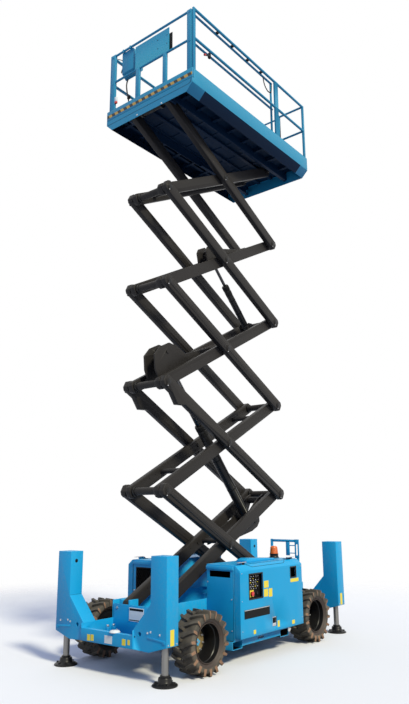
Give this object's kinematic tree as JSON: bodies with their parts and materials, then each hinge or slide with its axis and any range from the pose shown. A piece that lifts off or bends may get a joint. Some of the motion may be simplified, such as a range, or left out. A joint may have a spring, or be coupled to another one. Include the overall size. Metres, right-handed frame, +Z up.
{
  "type": "rough-terrain scissor lift with outriggers",
  "caption": "Rough-terrain scissor lift on four lugged wheels with corner outriggers, its guarded work platform part raised on a stack of crossed arms.",
  "frame": {"origin": "on the ground, in the middle of the four outrigger pads", "axes": "+X forward to the steered wheels and the extending end of the platform, +Y to the left, +Z up"},
  "size_m": [3.8805, 1.8294, 8.2248],
  "materials": {
    "blue_paint": "satin",
    "arm_paint": "satin",
    "cylinder_paint": "gloss",
    "rod_chrome": "polished",
    "leg_steel": "machined",
    "axle_iron": "matt",
    "slider_nylon": "matt",
    "panel_plastic": "matt",
    "beacon_lens": "clear",
    "hub_paint": "worn",
    "tyre": "worn"
  },
  "bodies": {
    "chassis": {"chassis_frame": "blue_paint", "outrigger_front": "blue_paint", "outrigger_rear": "blue_paint", "cabinet_left": "blue_paint", "cabinet_right": "blue_paint", "radiator_grille": "axle_iron", "control_panel": "panel_plastic", "engine": "axle_iron", "fork_pockets": "blue_paint", "entry_ladder": "blue_paint", "beacon": "beacon_lens", "front_axle": "axle_iron", "rear_axle": "axle_iron"},
    "platform": {"platform_deck": "blue_paint", "guardrail": "blue_paint"},
    "extension": {"extension_deck": "blue_paint", "extension_rail": "blue_paint", "platform_controls": "blue_paint"},
    "gate": {"gate": "blue_paint"},
    "base_slider": {"base_slider": "slider_nylon"},
    "deck_slider": {"deck_slider": "slider_nylon"},
    "lower_cylinder": {"lower_cylinder": "cylinder_paint"},
    "lower_rod": {"lower_rod": "rod_chrome"},
    "upper_cylinder": {"upper_cylinder": "cylinder_paint"},
    "upper_rod": {"upper_rod": "rod_chrome"},
    "door_left": {"door_left": "blue_paint"},
    "door_right": {"door_right": "blue_paint"},
    "inner_arms_1": {"inner_arms_1": "arm_paint"},
    "outer_arms_1": {"outer_arms_1": "arm_paint"},
    "inner_arms_2": {"inner_arms_2": "arm_paint"},
    "outer_arms_2": {"outer_arms_2": "arm_paint"},
    "inner_arms_3": {"inner_arms_3": "arm_paint"},
    "outer_arms_3": {"outer_arms_3": "arm_paint"},
    "inner_arms_4": {"inner_arms_4": "arm_paint"},
    "outer_arms_4": {"outer_arms_4": "arm_paint"},
    "inner_arms_5": {"inner_arms_5": "arm_paint"},
    "outer_arms_5": {"outer_arms_5": "arm_paint"},
    "knuckle_left": {"knuckle_left": "axle_iron"},
    "wheel_front_left": {"rim_front_left": "hub_paint", "tyre_front_left": "tyre"},
    "leg_front_left": {"leg_front_left": "leg_steel"},
    "wheel_rear_left": {"rim_rear_left": "hub_paint", "tyre_rear_left": "tyre"},
    "leg_rear_left": {"leg_rear_left": "leg_steel"},
    "knuckle_right": {"knuckle_right": "axle_iron"},
    "wheel_front_right": {"rim_front_right": "hub_paint", "tyre_front_right": "tyre"},
    "leg_front_right": {"leg_front_right": "leg_steel"},
    "wheel_rear_right": {"rim_rear_right": "hub_paint", "tyre_rear_right": "tyre"},
    "leg_rear_right": {"leg_rear_right": "leg_steel"}
  },
  "joints": [
    {"name": "lift", "type": "hinge", "parent": "chassis", "child": "inner_arms_1", "pos_m": [1.33355, 0, 0.632], "axis": [0, 1, 0], "range_deg": [-23, 25]},
    {"name": "outer_arms_1_pivot", "type": "hinge", "parent": "inner_arms_1", "child": "outer_arms_1", "pos_m": [0.11725, 0, 1.27328], "axis": [0, 1, 0], "range_deg": [-50.02, 46.02]},
    {"name": "inner_arms_2_pivot", "type": "hinge", "parent": "outer_arms_1", "child": "inner_arms_2", "pos_m": [1.33355, 0, 1.91456], "axis": [0, 1, 0], "range_deg": [-46.02, 50.02]},
    {"name": "outer_arms_2_pivot", "type": "hinge", "parent": "inner_arms_2", "child": "outer_arms_2", "pos_m": [0.11725, 0, 2.55584], "axis": [0, 1, 0], "range_deg": [-50.02, 46.02]},
    {"name": "outer_arms_3_pivot", "type": "hinge", "parent": "inner_arms_2", "child": "outer_arms_3", "pos_m": [-1.09905, 0, 3.19713], "axis": [0, 1, 0], "range_deg": [-50.02, 46.02]},
    {"name": "inner_arms_3_pivot", "type": "hinge", "parent": "outer_arms_3", "child": "inner_arms_3", "pos_m": [0.11725, 0, 3.83841], "axis": [0, 1, 0], "range_deg": [-46.02, 50.02]},
    {"name": "inner_arms_4_pivot", "type": "hinge", "parent": "outer_arms_3", "child": "inner_arms_4", "pos_m": [1.33355, 0, 4.47969], "axis": [0, 1, 0], "range_deg": [-46.02, 50.02]},
    {"name": "outer_arms_4_pivot", "type": "hinge", "parent": "inner_arms_4", "child": "outer_arms_4", "pos_m": [0.11725, 0, 5.12097], "axis": [0, 1, 0], "range_deg": [-50.02, 46.02]},
    {"name": "outer_arms_5_pivot", "type": "hinge", "parent": "inner_arms_4", "child": "outer_arms_5", "pos_m": [-1.09905, 0, 5.76225], "axis": [0, 1, 0], "range_deg": [-50.02, 46.02]},
    {"name": "inner_arms_5_pivot", "type": "hinge", "parent": "outer_arms_5", "child": "inner_arms_5", "pos_m": [0.11725, 0, 6.40353], "axis": [0, 1, 0], "range_deg": [-46.02, 50.02]},
    {"name": "platform_pivot", "type": "hinge", "parent": "outer_arms_5", "child": "platform", "pos_m": [1.33355, 0, 7.04482], "axis": [0, 1, 0], "range_deg": [-23.02, 25.02]},
    {"name": "base_slider_pivot", "type": "hinge", "parent": "outer_arms_1", "child": "base_slider", "pos_m": [-1.09905, 0, 0.632], "axis": [0, 1, 0], "range_deg": [-23.02, 25.02]},
    {"name": "deck_slider_pivot", "type": "hinge", "parent": "inner_arms_5", "child": "deck_slider", "pos_m": [-1.09905, 0, 7.04482], "axis": [0, 1, 0], "range_deg": [-25.02, 23.02]},
    {"name": "lower_cylinder_pivot", "type": "hinge", "parent": "inner_arms_1", "child": "lower_cylinder", "pos_m": [-0.75732, 0, 1.53995], "axis": [0, 1, 0], "range_deg": [-46.02, 42.34]},
    {"name": "lower_rod_slide", "type": "slide", "parent": "lower_cylinder", "child": "lower_rod", "axis": [0.6573, 0, 0.7537], "range_m": [-0.7255, 0.7885]},
    {"name": "upper_cylinder_pivot", "type": "hinge", "parent": "inner_arms_3", "child": "upper_cylinder", "pos_m": [-0.80569, 0, 4.39285], "axis": [0, 1, 0], "range_deg": [-49.52, 45.56]},
    {"name": "upper_rod_slide", "type": "slide", "parent": "upper_cylinder", "child": "upper_rod", "axis": [0.7092, 0, 0.705], "range_m": [-0.2885, 0.3135]},
    {"name": "extension_slide", "type": "slide", "parent": "platform", "child": "extension", "axis": [1, 0, 0], "range_m": [0, 1.2]},
    {"name": "gate_swing", "type": "hinge", "parent": "platform", "child": "gate", "pos_m": [-1.45275, 0.278, 7.14582], "axis": [0, 0, 1], "range_deg": [0, 85]},
    {"name": "steer_left", "type": "hinge", "parent": "chassis", "child": "knuckle_left", "pos_m": [1.26525, 0.612, 0.328], "axis": [0, 0, 1], "range_deg": [-30, 30]},
    {"name": "steer_right", "type": "hinge", "parent": "chassis", "child": "knuckle_right", "pos_m": [1.26525, -0.612, 0.328], "axis": [0, 0, 1], "range_deg": [-30.1, 30.1]},
    {"name": "roll_front_left", "type": "hinge", "parent": "knuckle_left", "child": "wheel_front_left", "pos_m": [1.26525, 0.7625, 0.328], "axis": [0, 1, 0], "continuous": true},
    {"name": "outrigger_front_left", "type": "slide", "parent": "chassis", "child": "leg_front_left", "axis": [0, 0, 1], "range_m": [-0.2, 0.2]},
    {"name": "roll_rear_left", "type": "hinge", "parent": "chassis", "child": "wheel_rear_left", "pos_m": [-1.03075, 0.7625, 0.328], "axis": [0, 1, 0], "continuous": true},
    {"name": "outrigger_rear_left", "type": "slide", "parent": "chassis", "child": "leg_rear_left", "axis": [0, 0, 1], "range_m": [-0.2, 0.2]},
    {"name": "door_left_swing", "type": "hinge", "parent": "chassis", "child": "door_left", "pos_m": [0.01725, 0.814, 1.084], "axis": [1, 0, 0], "range_deg": [0, 80]},
    {"name": "roll_front_right", "type": "hinge", "parent": "knuckle_right", "child": "wheel_front_right", "pos_m": [1.26525, -0.7625, 0.328], "axis": [0, 1, 0], "continuous": true},
    {"name": "outrigger_front_right", "type": "slide", "parent": "chassis", "child": "leg_front_right", "axis": [0, 0, 1], "range_m": [-0.2, 0.2]},
    {"name": "roll_rear_right", "type": "hinge", "parent": "chassis", "child": "wheel_rear_right", "pos_m": [-1.03075, -0.7625, 0.328], "axis": [0, 1, 0], "continuous": true},
    {"name": "outrigger_rear_right", "type": "slide", "parent": "chassis", "child": "leg_rear_right", "axis": [0, 0, 1], "range_m": [-0.2, 0.2]},
    {"name": "door_right_swing", "type": "hinge", "parent": "chassis", "child": "door_right", "pos_m": [0.01725, -0.814, 1.084], "axis": [-1, 0, 0], "range_deg": [0, 80]}
  ],
  "couplings": [
    {"joint": "outer_arms_1_pivot", "follows": "lift", "ratio": -2},
    {"joint": "inner_arms_2_pivot", "follows": "lift", "ratio": 2},
    {"joint": "outer_arms_2_pivot", "follows": "lift", "ratio": -2},
    {"joint": "outer_arms_3_pivot", "follows": "lift", "ratio": -2},
    {"joint": "inner_arms_3_pivot", "follows": "lift", "ratio": 2},
    {"joint": "inner_arms_4_pivot", "follows": "lift", "ratio": 2},
    {"joint": "outer_arms_4_pivot", "follows": "lift", "ratio": -2},
    {"joint": "outer_arms_5_pivot", "follows": "lift", "ratio": -2},
    {"joint": "inner_arms_5_pivot", "follows": "lift", "ratio": 2},
    {"joint": "platform_pivot", "follows": "lift", "ratio": 1},
    {"joint": "base_slider_pivot", "follows": "lift", "ratio": 1},
    {"joint": "deck_slider_pivot", "follows": "lift", "ratio": -1},
    {"joint": "lower_cylinder_pivot", "follows": "lift", "ratio": -1.84},
    {"joint": "lower_rod_slide", "follows": "lift", "m_per_rad": 1.8048},
    {"joint": "upper_cylinder_pivot", "follows": "lift", "ratio": -1.98},
    {"joint": "upper_rod_slide", "follows": "lift", "m_per_rad": 0.7162},
    {"joint": "steer_right", "follows": "steer_left", "ratio": 1}
  ]
}
